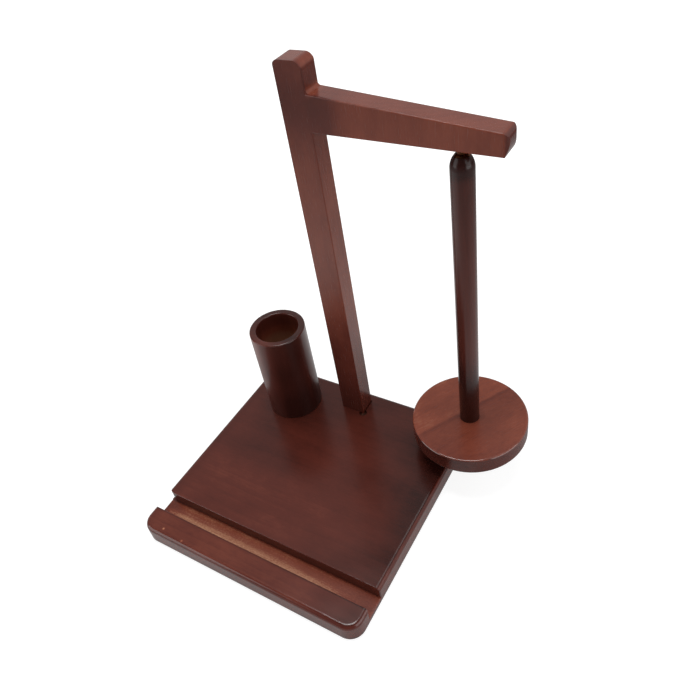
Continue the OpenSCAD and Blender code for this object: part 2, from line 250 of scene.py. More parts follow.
def stained_wood(name, wood, turn, pith, seed, thin, gloss, shine,
                 rings, clouds, streaks, speckles, peel, marks):
    """Rubberwood, sanded, stained red-brown and lacquered satin.

    Clouds of thicker and thinner stain give the eye most, with faint growth rings, fibres and
    vessels below them. End grain drinks more stain. The lacquer mirrors what is near, blurred,
    with a slight orange peel and a slow wave, and is smoother along rounded edges by the share
    shine. The grain runs along the piece after turn, and pith is the trunk's middle in
    millimetres. Thin says how little stain is left, from 0 to 1, and marks adds to it by place,
    some of it painted light and shade.
    Vessels are drawn 0.4 mm wide, twice the real width, so that they show.
    """
    material, tree, out = new_material(name)
    place = add(tree, "Mapping", {
        "Vector": add(tree, "TexCoord").outputs["Object"], "Scale": (1 / MM, 1 / MM, 1 / MM)})
    turned = add(tree, "Mapping", {"Vector": place, "Rotation": turn.to_euler()})
    bend = grain_noise(tree, turned, BEND, seed).outputs["Color"]
    wander = add(tree, "VectorMath", {0: bend, 1: (0.5, 0.5, 0.5)}, operation="SUBTRACT")
    grown = add(tree, "VectorMath", {
        0: wander, 1: (BEND_WIDTH, BEND_WIDTH, 0), 2: turned}, operation="MULTIPLY_ADD")
    years = add(tree, "Math", {
        0: from_line(tree, grown, pith), 1: wood.ring_gap / MM}, operation="DIVIDE")
    year = add(tree, "Math", {0: years}, operation="FRACT")
    late = add(tree, "ValToRGB", {"Fac": year}, stops=[
        (part, grey(level)) for part, level in LATE_WOOD])
    fibre = grain_noise(tree, grown, FIBRE, seed, 4.0)
    pore = mask(tree, (grain_noise(tree, grown, VESSEL, seed, 1.0), *PORE))
    cloud = grain_noise(tree, turned, CLOUD, seed)
    speckle = grain_noise(tree, turned, SPECKLE, seed, 3.0)
    scuff = grain_noise(tree, turned, SCUFF, seed)

    normal = add(tree, "NewGeometry").outputs["Normal"]
    facing = add(tree, "Mapping", {
        "Vector": normal, "Rotation": turn.to_euler()}, vector_type="NORMAL")
    along = add(tree, "SeparateXYZ", {0: facing}).outputs["Z"]
    end_grain = mask(tree, (add(tree, "Math", {0: along}, operation="ABSOLUTE"), *END_GRAIN))
    axes = add(tree, "SeparateXYZ", {0: place}).outputs
    spot = Spot(place, axes["X"], axes["Y"], axes["Z"], fibre, scuff)
    tone = layered(tree, thin + 0.3 * rings - 0.5 * (streaks + clouds + speckles), [
        (late, -rings), (fibre, streaks), (cloud, clouds), (speckle, speckles),
        *((mask(tree, *steps), change) for steps, change in marks(tree, spot)),
        (end_grain, -0.05), (pore, -0.5 * speckles)])
    stain = add(tree, "ValToRGB", {"Fac": tone}, stops=[
        (0.1, wood.stain_dark), (0.4, wood.stain_mid), (0.65, wood.stain_light),
        (1.0, wood.bare_tan)])

    steep = add(tree, "SeparateXYZ", {0: normal}).outputs["Z"]
    upward = add(tree, "Math", {0: steep}, operation="ABSOLUTE")
    flat = add(tree, "VectorMath", {0: normal, 1: (1, 1, 0)}, operation="MULTIPLY")
    sideways = add(tree, "VectorMath", {0: flat}, operation="LENGTH").outputs["Value"]
    square_on = add(tree, "Math", {0: upward, 1: sideways}, operation="MAXIMUM")
    edge = mask(tree, (square_on, *EDGE))
    rough = layered(tree, gloss - GLOSS_SPREAD / 2, [(cloud, GLOSS_SPREAD), (pore, 0.04)])
    rough = add(tree, "Math", {
        0: rough, 1: layered(tree, 1.0, [(edge, -shine)])}, operation="MULTIPLY")
    sheen = layered(tree, USUAL_SHEEN, [(edge, shine - EVEN_SHINE)])
    height = layered(tree, grain_noise(tree, turned, ORANGE_PEEL, seed, 1.0), [
        (pore, -0.2), (fibre, 0.3)])
    flow = add(tree, "Bump", {
        "Height": grain_noise(tree, turned, WAVE, seed, 1.0), "Strength": PEEL_STRENGTH,
        "Distance": WAVE_TO_PEEL * peel * MM})
    skin = add(tree, "Bump", {
        "Height": height, "Strength": PEEL_STRENGTH, "Distance": peel * MM, "Normal": flow})
    body = add(tree, "BsdfPrincipled", {
        "Base Color": stain, "Roughness": rough, "IOR": LACQUER_IOR, "Specular IOR Level": sheen,
        "Normal": skin})
    tree.links.new(body.outputs["BSDF"], out.inputs["Surface"])
    return material


# Marks in the stain and painted light and shade, piece by piece: the soft steps of a place, and how
# much lighter it is there


def base_marks(tree, spot):
    """Thin stain on the front strip and the groove's worn floor, darker along the top's left and
    back edges. Painted shade on the top to the right and back, round the cup, on the groove's wall
    and along the bottom edge; painted light on the groove's floor by its wall.
    """
    place, x, y, z, fibre, scuff = spot
    top = mask(tree, (z, 17.2, 17.9))
    wall = mask(tree, (y, -65.5, -64.6), (y, -63.4, -64.0), (z, 16.5, 15.5))
    floor = mask(tree, (z, 8.0, 7.0), (z, 4.5, 5.5), (y, -81.5, -80.7), (y, -63.5, -64.1))
    worn = layered(tree, -0.1, [(scuff, 1.3), (fibre, 0.6)])
    front_strip = [
        ([top, (y, -78, -82), (x, 95, 20)], 0.07),
        ([top, (y, -82.0, -81.2), (y, -79.0, -80.0)], -0.12),
    ]
    top_board_shade = [
        # Painted shade: darker to the right behind the groove, and towards the back
        ([top, (x, -10, 90), (y, -84, -76)], -0.08),
        ([top, (y, -45, 70)], -0.05),
        # Painted shadow of the cup round its foot
        ([top, (from_line(tree, place, (-33, 32)), 52, 22)], -0.08),
        ([top, (y, 16, 4), (y, -14, -4), (x, 40, -10)], -0.05),
    ]
    top_edges_and_shade = [
        # Painted shade to the right, and in the right back corner by the disc
        ([top, (x, 50, 95)], -0.08),
        ([top, (x, 78, 96), (y, 70, 30)], -0.05),
        ([top, (x, -86, -99)], -0.06),
        ([top, (y, 84, 98)], -0.06),
    ]
    sides_and_bottom_shade = [
        ([(z, 15.5, 13.5)], 0.03),
        # Painted contact shade along the bottom edge
        ([(z, 4.5, 2.5)], -0.2),
    ]
    groove = [
        # Painted shade on the groove's wall, deeper to the left
        ([wall], -0.1),
        ([wall, (x, -50, -85)], -0.08),
        ([floor, worn], 0.27),
        # Painted light on the groove's floor next to the wall, against the wall's shade
        ([floor, (y, -69, -65)], 0.06),
        ([floor, (x, -76, -94)], -0.18),
        ([floor, (x, 40, 95)], -0.12),
        ([floor, worn, (y, -70.0, -75.4), (x, 98, 45), (x, -98, -92)], 0.28),
    ]
    chips = [
        ([top, (from_line(tree, place, (-78.9, -94.3)), 1.5, 0.3)], 0.4),
        ([top, (from_line(tree, place, (-58.0, -96.6)), 1.7, 0.3)], 0.3),
    ]
    return front_strip + top_board_shade + top_edges_and_shade + sides_and_bottom_shade + groove + chips


def board_marks(tree, spot):
    """Painted light half way up the post, painted shade at its foot and on the front of its head
    and the arm's root. Lighter along the arm, darker on the head's right face and the arm's end.
    """
    x, y, z = spot.x, spot.y, spot.z
    post = [
        # Painted light half way up the post
        ([(z, 60, 165), (z, 300, 215)], 0.15),
        # Painted shade on the post's front at its foot
        ([(z, 70, 25), (x, 9.0, 8.4)], -0.12),
    ]
    head_side = [([(x, 8.4, 9.0), (x, 11, 9.2), (z, 308, 311)], -0.13)]
    arm_root_stain_and_shade = [
        # Painted shade on the front of the head and the arm's root
        ([(y, 77.5, 76.3), (z, 270, 296), (z, 318, 306), (x, 36, 12)], -0.06),
        ([(y, 75.9, 78), (z, 260, 300), (x, 40, 10)], 0.1),
        ([(x, 8, 10), (x, 16, 12), (z, 303, 306), (z, 313, 309)], 0.12),
    ]
    arm = [
        ([(x, 14, 50), (z, 276, 281)], 0.14),
        ([(x, 133.5, 136)], -0.25),
    ]
    return post + head_side + arm_root_stain_and_shade + arm


CUP_X, CUP_Y = -56.3, 66.5


def cup_marks(tree, spot):
    """Lighter and lighter inside towards the floor. Outside, painted shade at the foot and on the
    right side that faces the post, and painted light on the left side.
    """
    x, y, z = spot.x, spot.y, spot.z
    from_axis = from_line(tree, spot.place, (CUP_X, CUP_Y))
    inside, outside = mask(tree, (from_axis, 18.6, 18.1)), mask(tree, (from_axis, 18.1, 18.6))
    rim, below_rim = mask(tree, outside, (z, 105.2, 105.7)), (z, 105.6, 104.8)
    return [
        ([inside, (z, 90, 100)], -0.04),
        ([inside, (z, 102, 76)], 0.6),
        ([rim, (y, 56, 76)], -0.1),
        ([rim, (y, 62, 48), (x, CUP_X - 12, CUP_X + 2)], 0.08),
        ([outside, (z, 70, 95), (y, 56, 48)], 0.06),
        # Painted shade towards the foot
        ([(z, 60, 25)], -0.08),
        # Painted shadow of the post on the side that faces it, deepest low down towards the back
        ([outside, (x, CUP_X, CUP_X + 12), (y, 70, 58)], -0.15),
        ([outside, (x, CUP_X + 12, CUP_X + 21), (y, 62, 68), (z, 58, 36)], -0.13),
        # Painted light on the left side
        ([outside, (x, CUP_X + 2, CUP_X - 10), (y, 70, 56), (z, 30, 60), below_rim], 0.18),
    ]


ROD_X = 106.35


def rod_marks(tree, spot):
    """Lighter half way up, darker at the foot; painted shade on the lower left and painted shadow
    of the arm on the nose.
    """
    x, z = spot.x, spot.z
    return [
        # Painted shade on the rod's lower left
        ([(x, ROD_X + 0.5, ROD_X - 4), (z, 180, 120)], -0.1),
        ([(z, 70, 150), (z, 255, 200)], 0.08),
        ([(z, 135, 65)], -0.19),
        # Painted shadow of the arm on the nose
        ([(z, 258, 270)], -0.17),
    ]


SEAM_ANGLE = math.radians(58.4)
SEAM_POINT = Vector((91.8, 72.8, 0))


def disc_marks(tree, spot):
    """Two boards glued edge to edge: a soft dark seam, and one a little lighter. A darker rim."""
    across = Vector((math.sin(SEAM_ANGLE), -math.cos(SEAM_ANGLE), 0))
    side = add(
        tree, "VectorMath", {0: spot.place, 1: across}, operation="DOT_PRODUCT").outputs["Value"]
    seam = SEAM_POINT.dot(across)
    return [
        ([(side, seam + 1.0, seam - 1.5)], 0.11),
        ([(side, seam - 3.0, seam + 1.5), (side, seam + 6.0, seam + 1.5)], -0.06),
        ([(spot.z, 49.3, 48.5)], -0.22),
    ]


# Other materials


def plain_metal(name, colour, roughness, cloud_mm, turning_mm=None):
    """Metal with a slightly uneven polish, and tool marks round its axis where it was turned."""
    material, tree, out = new_material(name)
    place = add(tree, "TexCoord").outputs["Object"]
    spots = add(tree, "TexNoise", {
        "Vector": place, "Scale": 1 / (cloud_mm * MM), "Detail": 3.0, "Roughness": 0.6})
    tone = add(tree, "ValToRGB", {"Fac": spots}, stops=[
        (0.3, tuple(0.8 * c for c in colour)), (0.7, colour)])
    rough = layered(tree, roughness - 0.1, [(spots, 0.2)])
    inputs = {"Base Color": tone, "Roughness": rough, "Metallic": 1.0}
    if turning_mm:
        tool_marks = add(tree, "TexWave", {
            "Vector": place, "Scale": math.pi / (20 * turning_mm * MM), "Distortion": 0.4,
            "Detail": 1.0}, wave_type="BANDS", bands_direction="Z").outputs["Fac"]
        inputs["Normal"] = add(tree, "Bump", {
            "Height": tool_marks, "Strength": 0.4, "Distance": 0.01 * MM})
    body = add(tree, "BsdfPrincipled", inputs)
    tree.links.new(body.outputs["BSDF"], out.inputs["Surface"])
    return material


def moulded(name, colour, roughness, grit_mm):
    """Rubber or nylon from a mould: matte, with a fine grit."""
    material, tree, out = new_material(name)
    place = add(tree, "TexCoord").outputs["Object"]
    grit = add(tree, "TexNoise", {
        "Vector": place, "Scale": 1 / (grit_mm * MM), "Detail": 3.0, "Roughness": 0.6})
    tone = add(tree, "ValToRGB", {"Fac": grit}, stops=[
        (0.3, tuple(0.85 * c for c in colour)), (0.7, colour)])
    rough = layered(tree, roughness - 0.1, [(grit, 0.2)])
    skin = add(tree, "Bump", {"Height": grit, "Strength": 0.5, "Distance": 0.02 * MM})
    body = add(tree, "BsdfPrincipled", {"Base Color": tone, "Roughness": rough, "Normal": skin})
    tree.links.new(body.outputs["BSDF"], out.inputs["Surface"])
    return material


def pooled_lacquer(name, dark, light, roughness, cloud_mm):
    """Lacquer that ran together and dried dull: dark olive brown, and paler where it is thick."""
    material, tree, out = new_material(name)
    place = add(tree, "TexCoord").outputs["Object"]
    clouds = add(tree, "TexNoise", {
        "Vector": place, "Scale": 1 / (cloud_mm * MM), "Detail": 2.0, "Roughness": 0.5})
    tone = add(tree, "ValToRGB", {"Fac": clouds}, stops=[(0.35, dark), (0.65, light)])
    rough = layered(tree, roughness - 0.05, [(clouds, 0.1)])
    skin = add(tree, "Bump", {"Height": clouds, "Strength": 0.4, "Distance": 0.1 * MM})
    body = add(tree, "BsdfPrincipled", {
        "Base Color": tone, "Roughness": rough, "IOR": 1.2, "Normal": skin})
    tree.links.new(body.outputs["BSDF"], out.inputs["Surface"])
    return material


# Modelling steps


DOUBLES = 0.001 * MM
SLIVERS = 0.002 * MM


def select_only(piece):
    """Selects one object alone and makes it the active one."""
    bpy.ops.object.select_all(action="DESELECT")
    piece.select_set(True)
    bpy.context.view_layer.objects.active = piece


def pick(piece, kind, test):
    """Selects vertices, edges or faces whose middle passes the test, and stays in edit mode."""
    bpy.ops.object.mode_set(mode="EDIT")
    bpy.ops.mesh.select_mode(type=kind)
    bpy.ops.mesh.select_all(action="DESELECT")
    bpy.ops.object.mode_set(mode="OBJECT")
    mesh = piece.data
    for part in {"VERT": mesh.vertices, "EDGE": mesh.edges, "FACE": mesh.polygons}[kind]:
        corners = [part.index] if kind == "VERT" else part.vertices
        middle = sum((mesh.vertices[i].co for i in corners), Vector()) / len(corners)
        part.select = test(middle)
    bpy.ops.object.mode_set(mode="EDIT")


def close_shell():
    """Merges doubles of the mesh in edit mode, turns its faces outwards and leaves that mode."""
    bpy.ops.mesh.select_all(action="SELECT")
    bpy.ops.mesh.remove_doubles(threshold=DOUBLES)
    bpy.ops.mesh.normals_make_consistent(inside=False)
    bpy.ops.object.mode_set(mode="OBJECT")


def draw_section(name, points):
    """Draws a half section from one vertex on, by radius and height, and stays in edit mode."""
    bpy.ops.object.select_all(action="DESELECT")
    bpy.ops.mesh.primitive_plane_add(size=MM)
    piece = bpy.context.object
    piece.name = piece.data.name = name
    bpy.ops.object.mode_set(mode="EDIT")
    bpy.ops.mesh.select_mode(type="VERT")
    bpy.ops.mesh.select_all(action="SELECT")
    bpy.ops.mesh.merge(type="CENTER")
    here = Vector((0, 0))
    for step, point in enumerate(points):
        move = Vector(point) - here
        shift = {"value": (move.x, 0, move.y)}
        if step:
            bpy.ops.mesh.extrude_vertices_move(TRANSFORM_OT_translate=shift)
        else:
            bpy.ops.transform.translate(**shift)
        here = Vector(point)
    return piece


def lathe(name, points, steps):
    """Turns a half section round the Z axis into a closed shell."""
    piece = draw_section(name, points)
    bpy.ops.mesh.select_all(action="SELECT")
    bpy.ops.mesh.spin(steps=steps, angle=2 * math.pi, center=(0, 0, 0), axis=(0, 0, 1))
    close_shell()
    return piece


def boolean(piece, tool, operation):
    """Joins a tool to a piece or cuts it out of it, and clears the tool away."""
    select_only(piece)
    bpy.ops.object.modifier_add(type="BOOLEAN")
    cut = piece.modifiers[-1]
    cut.operation, cut.object, cut.solver = operation, tool, "EXACT"
    bpy.ops.object.modifier_apply(modifier=cut.name)
    bpy.ops.object.mode_set(mode="EDIT")
    bpy.ops.mesh.select_all(action="SELECT")
    bpy.ops.mesh.dissolve_degenerate(threshold=SLIVERS)
    close_shell()
    clear_away(tool)


def finish_piece(piece, material, degrees):
    """Smooths the faces up to an angle and gives the piece its material."""
    select_only(piece)
    bpy.ops.object.shade_smooth_by_angle(angle=math.radians(degrees))
    piece.data.materials.clear()
    piece.data.materials.append(material)


def copy_to_node(piece, name, node):
    """Copies a piece from the origin, with its own mesh, to stand where a CAD node stands."""
    low, high = (Vector(corner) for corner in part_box(node))
    select_only(piece)
    bpy.ops.object.duplicate(linked=False)
    copy = bpy.context.object
    copy.name = copy.data.name = name
    bpy.ops.transform.translate(value=((low.x + high.x) / 2, (low.y + high.y) / 2, low.z))
    bpy.ops.object.transform_apply(location=True, rotation=True, scale=True)
    return copy


def clear_away(piece):
    """Deletes an object that has done its work."""
    bpy.ops.object.select_all(action="DESELECT")
    piece.select_set(True)
    bpy.ops.object.delete()


# Pieces


class YARNHOLDER_OT_boards(bpy.types.Operator):
    """Stains the base board and the post with its arm"""
    bl_idname = "yarn_holder.boards"
    bl_label = "Boards"

    def execute(self, context):
        wood = context.scene.yarn_holder_wood
        dress("base_board", stained_wood(
            "Stained_rubberwood_base", wood, GRAIN_X, pith=(70, 10), seed=3.0, thin=0.39,
            gloss=0.215, shine=0.3, rings=0.03, clouds=0.26, streaks=0.06, speckles=0.08,
            peel=0.012, marks=base_marks))
        dress("post_and_arm", stained_wood(
            "Stained_rubberwood_board", wood, GRAIN_Z, pith=(20, 190), seed=11.0, thin=0.41,
            gloss=0.24, shine=0.2, rings=0.03, clouds=0.25, streaks=0.06, speckles=0.08,
            peel=0.012, marks=board_marks))
        return {"FINISHED"}


class YARNHOLDER_OT_turnings(bpy.types.Operator):
    """Stains the turned cup, rod and disc"""
    bl_idname = "yarn_holder.turnings"
    bl_label = "Turned pieces"

    def execute(self, context):
        wood = context.scene.yarn_holder_wood
        dress("tool_cup", stained_wood(
            "Stained_rubberwood_cup", wood, GRAIN_Z, pith=(-90, 90), seed=23.0, thin=0.3,
            gloss=0.3, shine=0.25, rings=0.03, clouds=0.15, streaks=0.04, speckles=0.02,
            peel=0.004, marks=cup_marks))
        dress("spindle_rod", stained_wood(
            "Stained_rubberwood_rod", wood, GRAIN_Z, pith=(150, 60), seed=31.0, thin=0.22,
            gloss=0.22, shine=0.0, rings=0.03, clouds=0.15, streaks=0.06, speckles=0.02,
            peel=0.004, marks=rod_marks))
        along_seam = GRAIN_X @ Matrix.Rotation(-SEAM_ANGLE, 3, "Z")
        dress("yarn_disc", stained_wood(
            "Stained_rubberwood_disc", wood, along_seam, pith=(60, 60), seed=47.0, thin=0.535,
            gloss=0.25, shine=0.75, rings=0.02, clouds=0.32, streaks=0.05, speckles=0.16,
            peel=0.01, marks=disc_marks))
        return {"FINISHED"}


class YARNHOLDER_OT_pivot(bpy.types.Operator):
    """Finishes the brass cap, the steel ball, its nylon seat and the magnet in its pot"""
    bl_idname = "yarn_holder.pivot"
    bl_label = "Magnet and pivot"

    def execute(self, context):
        # Brass, turned, its colour darkened as painted shade under the arm: nearly as dark as the
        # rod, with a narrow warm glint
        dress("nose_cap", plain_metal("Turned_brass_painted_shade", linear("#55331f"), 0.22, 3.0, 0.2))
        # Steel, ground and polished: a clear bright mirror
        dress("pivot_ball", plain_metal("Polished_bearing_steel", linear("#c4c6c9"), 0.12, 2.0))
        # Nickel plate: bright, a little warm and softly blurred
        dress("arm_magnet", plain_metal("Nickel_plated_magnet", linear("#c2bdb0"), 0.2, 2.0))
        # Zinc plate: cool grey and dull
        dress("magnet_pot", plain_metal("Zinc_plated_steel_pot", linear("#b4b8bd"), 0.35, 1.5))
        # Nylon, undyed: milky white with a soft sheen
        dress("ball_seat", moulded("Moulded_nylon", linear("#e4dfd0"), 0.45, 0.6))
        return {"FINISHED"}


class YARNHOLDER_OT_screws(bpy.types.Operator):
    """Turns, threads and slots the countersunk wood screws, and drives them in from below"""
    bl_idname = "yarn_holder.screws"
    bl_label = "Screws"

    # Pieces of one length, with the body that they ride on
    GROUPS = (
        (("post_screw_left", "post_screw_right"), "stand"),
        (("cup_screw",), "stand"),
        (("disc_screw",), "spindle"),
    )
    HEAD_HEIGHT = 2.0 * MM
    PLAIN_SHARE = 0.42
    TIP_LENGTH = 3.4 * MM
    TOOTH_DEPTH = 0.2 * MM
    TOOTH_HALF_ROOT = 0.3 * MM
    TOOTH_HALF_CREST = 0.04 * MM
    CROSS = (4.8 * MM, 1.0 * MM, 1.2 * MM)
    CROSS_TAPER = (0.45, 0.65)
    TURN_STEPS = 24
    SMOOTH_DEGREES = 35

    def execute(self, context):
        fittings = context.scene.yarn_holder_fittings
        # Zinc plate: cool grey and dull, with brighter crests along the thread
        zinc = plain_metal("Zinc_plated_steel_screw", linear("#b9bcc0"), 0.35, 1.5)
        for nodes, body in self.GROUPS:
            low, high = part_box(nodes[0])
            model = self.make_screw("Screw_model", fittings, high[2] - low[2])
            finish_piece(model, zinc, self.SMOOTH_DEGREES)
            for node in nodes:
                screw = copy_to_node(model, node.capitalize() + "_threaded", node)
                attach(screw, body)
                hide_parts(node)
            clear_away(model)
        return {"FINISHED"}

    def make_screw(self, name, fittings, length):
        """A screw with its head's face at the origin and its point up: shank first, then thread."""
        head, shank, core = fittings.head_radius, fittings.shank_radius, fittings.core_radius
        thread_start = max(self.PLAIN_SHARE * length, self.HEAD_HEIGHT + 2 * MM)
        thread_end = length - self.TIP_LENGTH
        screw = lathe(name, [
            (0, 0), (head - 0.15 * MM, 0), (head, 0.12 * MM), (head - 0.12 * MM, 0.3 * MM),
            (shank + 0.25 * MM, self.HEAD_HEIGHT - 0.05 * MM),
            (shank, self.HEAD_HEIGHT + 0.35 * MM), (shank, thread_start - 0.4 * MM),
            (core, thread_start), (core, thread_end), (0.25 * MM, length - 0.1 * MM),
            (0, length)], 2 * self.TURN_STEPS)
        boolean(screw, self.wind_thread(fittings, thread_start, thread_end), "UNION")
        for quarter in range(2):
            boolean(screw, self.make_cross_bar(quarter * math.pi / 2), "DIFFERENCE")
        return screw

    def wind_thread(self, fittings, start, end):
        """One tooth of the thread, rooted in the core and wound up round it."""
        root, crest = fittings.core_radius - self.TOOTH_DEPTH, fittings.crest_radius
        tooth = draw_section("Thread_model", [
            (root, start - self.TOOTH_HALF_ROOT), (crest, start - self.TOOTH_HALF_CREST),
            (crest, start + self.TOOTH_HALF_CREST), (root, start + self.TOOTH_HALF_ROOT)])
        bpy.ops.mesh.select_all(action="SELECT")
        bpy.ops.mesh.edge_face_add()
        bpy.ops.mesh.delete(type="ONLY_FACE")
        bpy.ops.object.mode_set(mode="OBJECT")
        bpy.ops.object.modifier_add(type="SCREW")
        turn = tooth.modifiers[-1]
        turn.axis = "Z"
        turn.screw_offset = fittings.pitch
        turn.iterations = max(1, int((end - start) / fittings.pitch))
        turn.steps = turn.render_steps = self.TURN_STEPS
        bpy.ops.object.modifier_apply(modifier=turn.name)
        bpy.ops.object.mode_set(mode="EDIT")
        bpy.ops.mesh.select_all(action="SELECT")
        bpy.ops.mesh.remove_doubles(threshold=DOUBLES)
        bpy.ops.mesh.fill_holes(sides=4)
        close_shell()
        return tooth

    def make_cross_bar(self, angle):
        """One bar of the cross recess, narrower towards its floor."""
        long, wide, deep = self.CROSS
        bpy.ops.object.select_all(action="DESELECT")
        bpy.ops.mesh.primitive_cube_add(size=1.0)
        bar = bpy.context.object
        bar.name = bar.data.name = "Cross_bar_model"
        bpy.ops.object.mode_set(mode="EDIT")
        bpy.ops.transform.resize(value=(long, wide, 2 * deep), center_override=(0, 0, 0))
        pick(bar, "FACE", lambda middle: middle.z > 0.9 * deep)
        bpy.ops.transform.resize(value=(*self.CROSS_TAPER, 1), center_override=(0, 0, deep))
        bpy.ops.mesh.select_all(action="SELECT")
        bpy.ops.transform.rotate(value=angle, orient_axis="Z", center_override=(0, 0, 0))
        close_shell()
        return bar


class YARNHOLDER_OT_feet(bpy.types.Operator):
    """Moulds the rubber feet, hollow below with rounded edges, and sticks them under the base"""
    bl_idname = "yarn_holder.feet"
    bl_label = "Rubber feet"

    HOLLOW = (2.2 * MM, 2.7 * MM, 0.35 * MM)
    SMALL_EDGE = 0.15 * MM
    EDGE_REACH = 0.05 * MM
    LEVEL_REACH = 0.01 * MM
    TURN_STEPS = 64
    SMOOTH_DEGREES = 40

    def execute(self, context):
        edge = context.scene.yarn_holder_fittings.foot_edge
        # Rubber: black and dull, with a grit that breaks up any glint
        rubber = moulded("Moulded_black_rubber", linear("#232323"), 0.75, 0.5)
        nodes = sorted(node for node in NODES if node.startswith("foot_pad"))
        low, high = (Vector(corner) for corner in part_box(nodes[0]))
        radius, height = (high.x - low.x) / 2, high.z - low.z
        floor_r, mouth_r, depth = self.HOLLOW
        model = lathe("Foot_model", [
            (0, depth), (floor_r, depth), (mouth_r, 0), (radius, 0), (radius, height),
            (0, height)], self.TURN_STEPS)
        for ring, level, round_by, segments in (
                (radius, 0, edge, 6), (radius, height, self.SMALL_EDGE, 2),
                (mouth_r, 0, self.SMALL_EDGE, 3), (floor_r, depth, self.SMALL_EDGE, 3)):
            pick(model, "EDGE", lambda middle: (
                abs(middle.xy.length - ring) < self.EDGE_REACH
                and abs(middle.z - level) < self.LEVEL_REACH))
            bpy.ops.mesh.bevel(offset=round_by, segments=segments, affect="EDGES")
            close_shell()
        finish_piece(model, rubber, self.SMOOTH_DEGREES)
        for node in nodes:
            foot = copy_to_node(model, node.capitalize() + "_moulded", node)
            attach(foot, "stand")
            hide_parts(node)
        clear_away(model)
        return {"FINISHED"}


class YARNHOLDER_OT_bead(bpy.types.Operator):
    """Lets a bead of lacquer stand in the relief at the post's front right corner"""
    bl_idname = "yarn_holder.bead"
    bl_label = "Lacquer bead"

    RELIEF = Vector((9.05 * MM, 75.9 * MM, 15.6 * MM))
    RELIEF_FLOOR = 10.2 * MM
    FLATNESS = 0.2
    LEAN = (0.0, 0.0, 0.4 * MM)
    TOP_REACH = 0.02 * MM
    SMOOTH_DEGREES = 50

    def execute(self, context):
        radius = context.scene.yarn_holder_fittings.bead_radius
        lacquer = pooled_lacquer(
            "Pooled_stained_lacquer", linear("#2a1209"), linear("#40251a"), 0.8, 2.0)
        bpy.ops.object.select_all(action="DESELECT")
        bpy.ops.mesh.primitive_uv_sphere_add(
            segments=32, ring_count=16, radius=radius, location=self.RELIEF)
        bead = bpy.context.object
        bead.name = bead.data.name = "Lacquer_bead"
        bpy.ops.object.transform_apply(location=True, rotation=True, scale=True)
        bpy.ops.object.mode_set(mode="EDIT")
        bpy.ops.transform.resize(value=(1, 1, self.FLATNESS), center_override=self.RELIEF)
        bpy.ops.mesh.bisect(plane_co=self.RELIEF, plane_no=(0, 0, 1), clear_inner=True)
        bpy.ops.mesh.extrude_region_move(TRANSFORM_OT_translate={
            "value": (0, 0, self.RELIEF_FLOOR - self.RELIEF.z)})
        bpy.ops.mesh.edge_face_add()
        top = self.RELIEF.z + radius * self.FLATNESS
        pick(bead, "VERT", lambda spot: spot.z > top - self.TOP_REACH)
        bpy.ops.transform.translate(
            value=self.LEAN, use_proportional_edit=True, proportional_edit_falloff="SMOOTH",
            proportional_size=radius)
        close_shell()
        finish_piece(bead, lacquer, self.SMOOTH_DEGREES)
        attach(bead, "stand")
        return {"FINISHED"}


# Stage


def seen_directly(tree):
    """1 for rays from the camera, off a gloss or through glass, else 0."""
    path = add(tree, "LightPath").outputs
    seen = add(tree, "Math", {0: path["Is Camera Ray"], 1: path["Is Glossy Ray"]}, operation="ADD")
    return add(tree, "Math", {0: seen, 1: path["Is Transmission Ray"]},
               operation="ADD", use_clamp=True)


